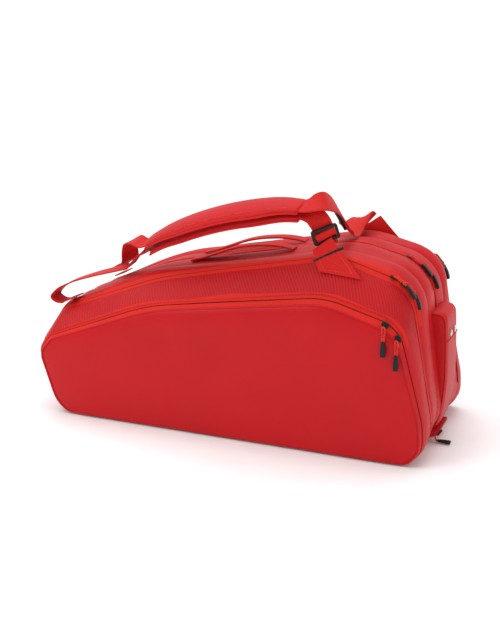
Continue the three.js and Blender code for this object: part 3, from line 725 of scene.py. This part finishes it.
def ribbon_frames(points, widths):
    frames = []
    for i in range(len(points)):
        ahead = (points[min(i + 1, len(points) - 1)] - points[max(i - 1, 0)]).normalized()
        place = i / (len(points) - 1) * (len(widths) - 1)
        key = min(int(place), len(widths) - 2)
        across = Vector(widths[key]).lerp(Vector(widths[key + 1]), place - key)
        across = (across - ahead * across.dot(ahead)).normalized()
        frames.append((across, ahead.cross(across).normalized()))
    return frames


def sew_on(piece, trims):
    """Joins the trims to the piece, so that they bend with it."""
    bpy.ops.object.select_all(action="DESELECT")
    for trim in trims:
        trim.select_set(True)
    piece.select_set(True)
    bpy.context.view_layer.objects.active = piece
    bpy.ops.object.join()
    return piece


def webbing(name, stops, widths, body, width=38.0, thickness=2.4, steps=48, material=None, cup=0.6):
    points = smooth_route(stops, steps)
    frames = ribbon_frames(points, widths)
    rows = []
    for k in range(9):
        share = k / 4 - 1
        rows.append([
            bag_point(*(p + across * (share * width / 2) + up * (cup * (1 - share * share))))
            for p, (across, up) in zip(points, frames)
        ])
    piece = lay_cloth(name, rows, material or nylon_webbing, thickness, offset=0)
    soft = piece.modifiers.new("soft_edge", "BEVEL")
    soft.width = 0.5 * MM
    soft.segments = 2
    pick(piece)
    bpy.ops.object.modifier_apply(modifier=soft.name)
    for edge_name, place in (("a", 0.86), ("b", -0.86)):
        line = [
            bag_point(*(p + across * (place * width / 2) + up * (cup * 0.26 + thickness / 2 + 0.1)))
            for p, (across, up) in zip(points, frames)
        ]
        sew_on(piece, [tube(f"{name}_stitch_{edge_name}", line[1:-1], 0.45, red_thread, sides=5)])
    if isinstance(body, str):
        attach(piece, body)
    return piece


HANDLE_STOPS = [(-102, 298), (-72, 307), (-5, 332), (50, 341), (80, 341), (102, 338)]
for name, side in (("front", -1), ("rear", 1)):
    stops = [(x, side * 33, z) for x, z in HANDLE_STOPS]
    grip = webbing(f"{name}_handle_webbing", stops, [(0, 1, 0), (0, 1, 0)], f"{name}_handle", 26, 3)
    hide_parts(f"{name}_carry_handle")
    print(grip.name, len(grip.data.polygons), "faces")

# %% [markdown]
# ## The straps' webbing
# Each shoulder strap is fixed at both ends and swings over the bag. Its ends are webbing
# that has to bend from the fixed loop to the swinging strap. Three end pieces stay fixed
# in place on no body, and the front right one moves with the front strap.

# %% Strap ends
PAD_WIDTHS = (0, 1, 0.3)
front_left = webbing(
    "front_left_webbing",
    [
        (-168, -69, 326), (-183, -67, 317), (-195, -61, 311), (-207, -57, 300), (-219, -54, 287),
        (-226, -53, 279),
        (-245, -58, 273), (-290, -74, 261), (-331, -90, 247), (-356, -99, 232), (-365, -102, 218),
        (-354, -102, 210), (-340, -102, 209.5),
    ],
    [PAD_WIDTHS, (0, 1, 0.1), (0, 1, 0), (0, 1, 0)], None, steps=72,
)
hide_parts("front_strap_web_left", "front_strap_loop_left")
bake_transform(front_left)

rear_left = webbing(
    "rear_left_webbing",
    [
        (-166, -72.5, 341), (-184, -71, 330), (-205, -66, 334), (-224, -50, 327), (-240, -28, 303),
        (-244, -20, 292),
        (-256, 2, 276), (-280, 36, 262), (-308, 70, 246), (-328, 90, 232), (-336, 100, 221),
    ],
    [PAD_WIDTHS, (0.37, 0.9, 0.2), (0.55, 0.77, 0.26), (0.73, 0.6, 0.33), (0.9, 0.4, 0.4)],
    None, steps=72,
)
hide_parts("rear_strap_web_left", "rear_strap_loop_left")
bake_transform(rear_left)

front_right = webbing(
    "front_right_webbing",
    [
        (133, -109.5, 421.2), (150, -111.6, 421.5), (163, -110, 418), (173, -108, 408), (179, -105, 394),
        (183, -101, 378), (186, -98, 365),
    ],
    [PAD_WIDTHS, (0.5, 0.78, 0.45), (0.75, 0.42, 0.49), (0.75, 0.42, 0.49), (0.67, 0.5, 0.55)],
    "front_strap",
)
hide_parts("front_strap_web_right")

rear_right = webbing(
    "rear_right_webbing",
    [
        (132, -114, 435.3), (150, -116, 436), (166, -115, 441), (179, -102, 443), (185, -74, 434),
        (187, -40, 413),
        (187, -4, 384), (187, 8, 371), (188, 28, 365), (186, 48, 366), (188, 68, 374),
        (196, 88, 379), (203, 100, 370),
    ],
    [
        PAD_WIDTHS, (-0.3, 0.6, 0.5), (-0.53, 0, 0.85), (-0.53, 0, 0.85), (-0.6, 0, 0.8),
        (-0.9, 0, 0.45), (-1, -0.1, 0), (-0.67, -0.5, -0.55),
    ],
    None, steps=72,
)
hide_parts("rear_strap_web_right", "rear_strap_loop_right")
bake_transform(rear_right)

# %% [markdown]
# Each strap ends at a plastic bar. A folded tab, wide at the gusset's seam and narrow at
# the bar, holds that bar. Its stitching is a box with a cross. The tab stays fixed in place
# and is not attached to any body.

# %% Bar tabs
def corner_blend(base, top, u, v):
    low = Vector(base[0]).lerp(Vector(base[1]), u)
    high = Vector(top[0]).lerp(Vector(top[1]), u)
    return low.lerp(high, v)


def sewn_tab(name, base, top):
    rows = [
        [bag_point(*corner_blend(base, top, i / 10, k / 12)) for i in range(11)] for k in range(13)
    ]
    tab = lay_cloth(name, rows, nylon_webbing, 2.8, offset=0, inside=MIDDLE)
    normal = (rows[0][-1] - rows[0][0]).cross(rows[-1][5] - rows[0][5]).normalized()
    if normal.dot(rows[6][5] - MIDDLE) < 0:
        normal = -normal
    corners = [(0.14, 0.12), (0.86, 0.12), (0.86, 0.78), (0.14, 0.78)]
    runs = list(zip(corners, corners[1:] + corners[:1]))
    runs += [(corners[0], corners[2]), (corners[1], corners[3])]
    threads = []
    for i, (a, b) in enumerate(runs):
        line = []
        for k in range(9):
            u, v = (p + (q - p) * k / 8 for p, q in zip(a, b))
            line.append(bag_point(*corner_blend(base, top, u, v)) + normal * 1.5 * MM)
        threads.append(tube(f"{name}_run_{i}", line, 0.55, red_thread, sides=5))
    sew_on(tab, threads)
    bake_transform(tab)
    return tab


front_tab = sewn_tab(
    "front_bar_tab", [(182, -131, 326), (257, -129, 319)], [(166, -125, 361), (194, -106, 382)],
)
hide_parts("front_strap_tab")
rear_tab = sewn_tab(
    "rear_bar_tab", [(200, 131, 323), (272, 129, 316)], [(189, 102, 357), (217, 123, 377)],
)
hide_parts("rear_strap_tab")
print("tabs:", front_tab.name, rear_tab.name)

# %% [markdown]
# The bar lies in the tab's fold, so only its two ends show. Webbing is threaded through
# each ladder lock: it comes up through one slot, crosses the middle bar and goes down again.

# %% Bars in their folds and threaded locks
for name, ends in (
    ("front", [(170, -129, 343), (218, -111, 367)]), ("rear", [(186, 111, 348), (226, 128, 358)]),
):
    first, last = (Vector(p) for p in ends)
    path = [bag_point(*first.lerp(last, i / 8)) for i in range(9)]
    bar = tube(f"{name}_bar_in_fold", path, lambda i: 1.9 if i in (0, 8) else 2.6, black_acetal, sides=12)
    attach(bar, "carcass")
    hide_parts(f"{name}_strap_bar")


def face_frame(node):
    """The middle of a flat node and its two short directions: along its short side, and out."""
    spots = [v.co for v in frame["nodes"][node].data.vertices]
    middle = sum(spots, Vector()) / len(spots)
    faces = sorted(frame["nodes"][node].data.polygons, key=lambda f: -f.area)
    out = faces[0].normal.copy()
    if out.dot(middle - MIDDLE) < 0:
        out = -out
    runs = []
    for edge in frame["nodes"][node].data.edges:
        a, b = (frame["nodes"][node].data.vertices[i].co for i in edge.vertices)
        runs.append((b - a) - out * (b - a).dot(out))
    wide = max((r for r in runs if abs(r.length - 0.038) < 0.0015), key=lambda r: r.length).normalized()
    return middle, wide, out.cross(wide).normalized(), out


for name in ("front", "rear"):
    middle, wide, short, out = face_frame(f"{name}_ladder_lock")
    rows = []
    for k in range(7):
        share = k / 3 - 1
        rows.append([
            middle + wide * share * 18.4 * MM + short * (i / 6 - 1) * 7.2 * MM
            + out * (3.4 - 4.6 * abs(i / 6 - 1) ** 3) * MM
            for i in range(13)
        ])
    bridge = lay_cloth(f"{name}_lock_bridge", rows, nylon_webbing, 1.8, offset=0, inside=middle - out * 0.03)
    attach(bridge, f"{name}_lock")
    print(bridge.name, "faces", [round(v, 2) for v in out])

# %% [markdown]
# ## The shoulder pads
# A pad is knit cloth over foam. Its flat shell is remeshed evenly, and a short cloth
# simulation blows it up from inside, so the foam seems to fill it. No point may move more
# than 3 mm. A piped edge and a sewn line are added on the swollen shape.

# %% Pad shells
PAD_STOPS = [
    (-181, -70, 332), (-127, -78, 365), (-61, -88, 394), (22, -100, 420), (101, -110, 434),
    (149, -116, 435.5),
]
PAD_TILT = radians(17)
PAD_ACROSS = (0, cos(PAD_TILT), sin(PAD_TILT))
PAD_STEPS, PAD_HALF_WIDTH, PAD_CURVE = 56, 36.0, 95.0


def pad_frames(drop):
    points = smooth_route(PAD_STOPS, PAD_STEPS)
    frames = ribbon_frames(points, [PAD_ACROSS, PAD_ACROSS])
    return [(p - up * drop, across, up) for p, (across, up) in zip(points, frames)]


def pad_width(i):
    from_end = min(min(i, PAD_STEPS - i) / PAD_STEPS / 0.3, 1)
    ease = from_end * from_end * (3 - 2 * from_end)
    return 0.68 + 0.32 * ease


def on_pad(frame_at, width, share, height):
    point, across, up = frame_at
    x = PAD_HALF_WIDTH * width * share
    fall = PAD_CURVE - sqrt(PAD_CURVE**2 - x * x)
    spot = point + across * x + up * (height - fall)
    return bag_point(*spot)


def pad_shell(name, drop, thickness):
    rings = []
    for i, frame_at in enumerate(pad_frames(drop)):
        width = pad_width(i)
        end = min(i, PAD_STEPS - i)
        closing = sqrt(1 - (1 - min(end / 3, 1)) ** 2) if end < 3 else 1
        ring = []
        for k in range(32):
            turn = 2 * pi * k / 32
            share, rise = cos(turn), sin(turn)
            flat = (abs(share) ** 0.6) * (1 if share > 0 else -1)
            high = (abs(rise) ** 0.6) * (1 if rise > 0 else -1)
            ring.append(on_pad(frame_at, width * (0.9 + 0.1 * closing), flat, high * thickness / 2 * closing))
        rings.append(ring + [ring[0]])
    rings[0] = [sum(rings[0][:-1], Vector()) / 32] * 33
    rings[-1] = [sum(rings[-1][:-1], Vector()) / 32] * 33
    return lay_cloth(name, rings, padded_knit, tube=True)


def swell(piece, cap):
    """Blows the shell up with the cloth simulation and keeps every point within the cap."""
    pick(piece)
    piece.data.remesh_voxel_size = 4.5 * MM
    bpy.ops.object.voxel_remesh()
    start = [v.co.copy() for v in piece.data.vertices]
    cloth = piece.modifiers.new("swelling", "CLOTH")
    cloth.settings.use_pressure = True
    cloth.settings.uniform_pressure_force = 4
    cloth.settings.effector_weights.gravity = 0
    scene = bpy.context.scene
    cloth.point_cache.frame_start, cloth.point_cache.frame_end = 1, 20
    for step in range(1, 21):
        scene.frame_set(step)
    bpy.ops.object.modifier_apply(modifier=cloth.name)
    scene.frame_set(1)
    for vertex, before in zip(piece.data.vertices, start):
        move = vertex.co - before
        if move.length > cap * MM:
            vertex.co = before + move.normalized() * cap * MM
    smooth = piece.modifiers.new("even", "SUBSURF")
    smooth.levels = smooth.render_levels = 1
    bpy.ops.object.modifier_apply(modifier=smooth.name)
    bpy.ops.object.shade_smooth_by_angle(angle=radians(60))
    piece.data.materials.clear()
    piece.data.materials.append(padded_knit)
    return piece


def pad_trims(piece, drop, thickness):
    """A piped edge round the pad and two rows of stitches on its upper face."""
    frames = pad_frames(drop)
    near = [on_pad(f, pad_width(i), 1.0, 0) for i, f in enumerate(frames)]
    far = [on_pad(f, pad_width(i), -1.0, 0) for i, f in enumerate(frames)]
    trims = [tube(f"{piece.name}_piping", near[1:-1] + far[-2:0:-1], 1.8, nylon_webbing, closed=True)]
    for share in (-0.72, 0.72):
        line = [
            on_pad(f, pad_width(i), share, thickness / 2 + 0.5) for i, f in enumerate(frames)
        ][4:-4]
        row = tube(f"{piece.name}_row_{share}", line, 0.6, red_thread, sides=5)
        cling = row.modifiers.new("cling", "SHRINKWRAP")
        cling.target = piece
        cling.offset = 0.3 * MM
        cling.wrap_mode = "OUTSIDE_SURFACE"
        pick(row)
        bpy.ops.object.modifier_apply(modifier=cling.name)
        trims.append(row)
    return trims


PAD_THICKNESS, PAD_DROP = 9.0, 15.2
for name, drop in (("rear", 0), ("front", PAD_DROP)):
    pad = pad_shell(f"{name}_shoulder_pad", drop, PAD_THICKNESS)
    swell(pad, 1.2)
    sew_on(pad, pad_trims(pad, drop, PAD_THICKNESS))
    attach(pad, f"{name}_strap")
    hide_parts(f"{name}_strap_pad")
    print(pad.name, len(pad.data.polygons), "faces")

# %% [markdown]
# ## Zipper pulls
# A pull is a loop of braided cord, knotted once, with a moulded grip on its end. The grip is
# modelled once as a straight bar, then each copy is bent onto the shoulder of the bag.

# %% Pull pieces
PULL_CORD, PULL_GRIP = 26.0, 28.0
STANDOFF = 4.2 + 1.8 + 0.8  # slider's height over the cloth, half its body, and a clearance


def grip_blank():
    """A grip 9 mm wide and 5.2 mm thick, hanging down from z = 0, in millimetres."""
    bpy.ops.object.select_all(action="DESELECT")
    bpy.ops.mesh.primitive_cube_add(size=1, location=(0, 0, 0))
    grip = bpy.context.object
    bpy.ops.object.mode_set(mode="EDIT")
    bpy.ops.mesh.select_all(action="SELECT")
    bpy.ops.transform.resize(value=(9, 5.2, PULL_GRIP))
    bpy.ops.transform.translate(value=(0, 0, -PULL_GRIP / 2))
    bpy.ops.mesh.bevel(offset=1.5, segments=3)
    bpy.ops.mesh.select_all(action="SELECT")
    bpy.ops.mesh.subdivide(number_cuts=3)
    bpy.ops.object.mode_set(mode="OBJECT")
    for vertex in grip.data.vertices:
        depth = -vertex.co.z / PULL_GRIP
        waist = 0.72 + 0.28 * min(depth * 1.8, 1)
        ridge = 1 - 0.1 * (0.5 + 0.5 * cos(depth * 2 * pi * 5)) * (0.3 < depth < 0.9)
        vertex.co.x *= waist
        vertex.co.y *= waist * ridge
    return grip


def cord_loop():
    """Both strands of the cord and its knot, hanging down from z = 0, in millimetres."""
    down = [(-1.6, 0, -PULL_CORD - 2), (-1.7, 0, -18), (-2.3, 0, -8), (-1.9, 0, -2.5)]
    over = [(0, 0, -0.9)] + [(-x, y, z) for x, y, z in reversed(down)]
    path = [p * MM for p in smooth_route(down + over, 40)]
    loop = tube("cord_loop", path, 1.4, red_cord, sides=8)
    knot_path = [Vector((x, 0, -19.5 - i * 0.9)) * MM for i, x in enumerate((0, 0.3, 0, -0.3, 0))]
    knot = tube("knot", knot_path, lambda i: (2.2, 3.1, 2.9, 3.1, 2.2)[i], red_cord, sides=10)
    sew_on(loop, [knot])
    for vertex in loop.data.vertices:
        vertex.co /= MM
    return loop


def fit_pull(node, mapping, cord=PULL_CORD, grip_scale=1.0):
    grip, loop = grip_blank(), cord_loop()
    for vertex in grip.data.vertices:
        x, h, z = vertex.co
        vertex.co = mapping(x, h, cord - z * grip_scale)
    for vertex in loop.data.vertices:
        x, h, z = vertex.co
        vertex.co = mapping(x, h, -z * (cord + 2) / (PULL_CORD + 2))
    for piece in (grip, loop):
        pick(piece)
        bpy.ops.object.mode_set(mode="EDIT")
        bpy.ops.mesh.select_all(action="SELECT")
        bpy.ops.mesh.normals_make_consistent(inside=False)
        bpy.ops.object.mode_set(mode="OBJECT")
    grip.data.materials.append(black_acetal)
    grip.name = f"{node}_grip"
    sew_on(grip, [loop])
    bpy.ops.object.shade_smooth_by_angle(angle=radians(45))
    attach(grip, node)
    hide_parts(node)
    return grip


def shoulder(corners):
    """The centre and radius of the rounded shoulder at the wide end."""
    arc = corner_arc(corners, 3)
    radius = corners[3][2]
    a, b = Vector(arc[0]), Vector(arc[-1])
    half = (b - a).length / 2
    middle = (a + b) / 2
    inward = (middle - Vector(corners[3][:2])).normalized()
    return middle + inward * sqrt(radius**2 - half**2), radius


def bent(corners, angle, y):
    centre, radius = shoulder(corners)
    inner = radius + STANDOFF
    middle = inner + 2.2

    def mapping(x, h, s):
        turn = radians(angle) - s / middle
        reach = middle + h
        return bag_point(centre.x + reach * cos(turn), y + x, centre.y + reach * sin(turn))

    return mapping


UPPER, LOWER, SIDESTEP = 66, 50, 5.5
for zipper, corners, y in (
    ("front_main", MAIN_ZIP, -108), ("centre", CENTRE_ZIP, 0), ("rear_main", MAIN_ZIP, 108),
):
    fit_pull(f"{zipper}_upper_pull", bent(corners, UPPER, y - SIDESTEP))
    fit_pull(f"{zipper}_lower_pull", bent(corners, LOWER, y + SIDESTEP))

POCKET_LINE = between(PANEL, FOLD, 0.5)
for zipper, side, place, angle in (
    ("front_pocket", -1, "upper", 62), ("front_pocket", -1, "lower", 32), ("rear_pocket", 1, "upper", 62),
):
    centre, radius = shoulder(POCKET_LINE)
    x0 = centre.x + (radius + 1) * cos(radians(angle))
    z0 = centre.y + (radius + 1) * sin(radians(angle))
    fit_pull(
        f"{zipper}_{place}_pull",
        lambda x, h, s, x0=x0, z0=z0, side=side: bag_point(x0 + x, side * (168.6 + h), z0 - s),
    )


def lying(x, h, s):
    """The end pull: down from its slider, then along the floor."""
    if s >= 8:
        return bag_point(371 + s, -34 + x, 4.9 + h)
    turn = (8 - s) / 10 * pi / 2
    reach = 379 - (2.4 + h) * sin(turn)
    height = 4.9 + 8.8 * (1 - cos(turn)) + h * cos(turn)
    return bag_point(reach, -34 + x, height)


fit_pull("end_pocket_pull", lying, cord=10, grip_scale=24 / 28)

# %% [markdown]
# ## The end pocket
# A shallow pocket stands on the wide end between the two inner bays. It is a moulded foam
# cover with piped side edges. Rows across it follow one side profile, and the outer rows
# turn in towards the bag.

# %% End pocket cover
POCKET_PROFILE = [
    (352, 247.4), (368, 248.2), (380, 247), (387, 240), (390.4, 210), (392.6, 160), (393, 120),
    (388.5, 70), (379, 34), (370, 28), (356, 27.5),
]


def pocket_row(y, inset):
    points = smooth_route([(x, 0, z) for x, z in POCKET_PROFILE], 44)
    row = []
    for p in points:
        z = 137 + (p.z - 137) * (1 - inset / 110)
        row.append(bag_point(p.x - inset, y, z))
    return row


stations = [(42, 30), (42, 16), (42, 9), (41.2, 5), (39, 2.4), (36, 0.8), (30, 0.2), (15, 0)]
stations = [(-y, inset) for y, inset in stations] + [(0, -0.3)] + stations[::-1]
rows = [pocket_row(y, inset) for y, inset in stations]
end_cover = lay_cloth("end_pocket_shell", rows, lobe_polyester, 2.4, offset=-1, inside=bag_point(300, 0, 140))
trims = [
    tube(f"end_pocket_piping_{i}", pocket_row(y, 3.4)[1:-1], 1.6, panel_polyester)
    for i, y in enumerate((-40.4, 40.4))
]
flap_seam = [bag_point(391.6, y, 196) for y in range(-38, 39, 4)]
trims.append(tube("end_flap_seam", flap_seam, 1.0, panel_polyester))
sew_on(end_cover, trims)

# %% [markdown]
# The cover closes with two snaps. One is in the frame; its twin mirrors it, with a raised
# rim and a dished middle.

# %% Second snap
snap_middle = (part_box("end_pocket_snap")[0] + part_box("end_pocket_snap")[1]) / 2
bpy.ops.object.select_all(action="DESELECT")
bpy.ops.mesh.primitive_cylinder_add(
    vertices=32, radius=6.5 * MM, depth=2.2 * MM, rotation=(0, pi / 2, 0),
    location=snap_middle + Vector((0, 2 * -snap_middle.y, 0)),
)
second_snap = bpy.context.object
second_snap.name = "end_pocket_second_snap"
bpy.ops.object.transform_apply(location=True, rotation=True, scale=True)
for face in second_snap.data.polygons:
    face.select = face.normal.x > 0.9
bpy.ops.object.mode_set(mode="EDIT")
bpy.ops.mesh.select_mode(type="FACE")
bpy.ops.mesh.inset(thickness=1.8 * MM)
bpy.ops.transform.translate(value=(0.6 * MM, 0, 0))
bpy.ops.mesh.inset(thickness=2 * MM)
bpy.ops.transform.translate(value=(-0.5 * MM, 0, 0))
bpy.ops.object.mode_set(mode="OBJECT")
bpy.ops.object.shade_smooth_by_angle(angle=radians(40))
second_snap.data.materials.append(nickel_plate)
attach(second_snap, "end_pocket_flap")
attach(end_cover, "end_pocket_flap")
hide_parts("end_pocket_cover")
print(end_cover.name, len(end_cover.data.polygons), "faces")

# %% [markdown]
# Below the cover a small padded foot fills the rounded corner of the bag. It carries the
# zipper tape that the end pocket's slider runs on, across the bag.

# %% End pocket foot
FOOT_PROFILE = [
    (352, 26.5), (366, 26.6), (384.8, 26.4), (382.2, 22), (377.4, 15.4), (366, 11.5), (345, 5.5),
]
FOOT_MIDDLE = (365, 19)
FOOT_STATIONS = (
    (-41.9, 0.02), (-41.8, 0.9), (-41, 0.97), (-39, 1), (0, 1), (26, 1), (31, 0.96), (33.6, 0.85),
    (34, 0.02),
)
TAPE_UP, TAPE_OUT = (0.574, 0.819), (0.82, -0.57)  # the tape's slope and its outward side
TAPE_SECTION = ((-6, 0.2), (-2.2, 0.5), (-2.1, 0.9), (0, 1.3), (2.1, 0.9), (2.2, 0.5), (6, 0.2))
TEETH_HALF_WIDTH = 2.1


def foot_row(y, shrink=1.0):
    points = smooth_route([(x, 0, z) for x, z in FOOT_PROFILE], 30)
    x0, z0 = FOOT_MIDDLE
    row = [bag_point(x0 + (p.x - x0) * shrink, y, z0 + (p.z - z0) * shrink) for p in points]
    return row + [row[0]]


def tape_point(w, up, y):
    x = 380.6 + TAPE_UP[0] * w + TAPE_OUT[0] * up
    return bag_point(x, y, 19.4 + TAPE_UP[1] * w + TAPE_OUT[1] * up)


rows = [foot_row(y, shrink) for y, shrink in FOOT_STATIONS]
foot = lay_cloth("end_pocket_foot", rows, lobe_polyester, tube=True)
teeth = [[tape_point(w, up, y) for y in range(-40, 29, 4)] for w, up in TAPE_SECTION]
foot_zip = lay_cloth("end_pocket_zip", teeth, zipper_tape, 0.8, inside=MIDDLE)
foot_zip.data.materials.append(coil_teeth)
for face in foot_zip.data.polygons:
    across = (face.center - bag_point(381.2, 0, 19)).dot(Vector((TAPE_UP[0], 0, TAPE_UP[1])))
    if abs(across) < TEETH_HALF_WIDTH * MM:
        face.material_index = 1
sew_on(foot, [foot_zip])
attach(foot, "carcass")
print(foot.name, len(foot.data.polygons), "faces")

# %% [markdown]
# ## The frame's own pieces
# Sliders, bars, ladder locks, the snap, the board and the floor already have their right
# shape, so they stay and only get a finish.

# %% Finishes on the frame's pieces
FINISHES = (
    ("slider", black_acetal), ("_bar", black_acetal), ("ladder_lock", black_acetal),
    ("snap", nickel_plate), ("board", board_polypropylene), ("divider", lining_taffeta),
    ("bay_wall", lining_taffeta), ("bottom_panel", floor_polyester), ("anchor", floor_polyester),
)
for node_name, piece in frame["nodes"].items():
    for ending, material in FINISHES:
        if ending in node_name and not piece.hide_render:
            piece.data.materials.clear()
            piece.data.materials.append(material)
print("frame pieces shown:", sorted(n for n, o in frame["nodes"].items() if not o.hide_render))
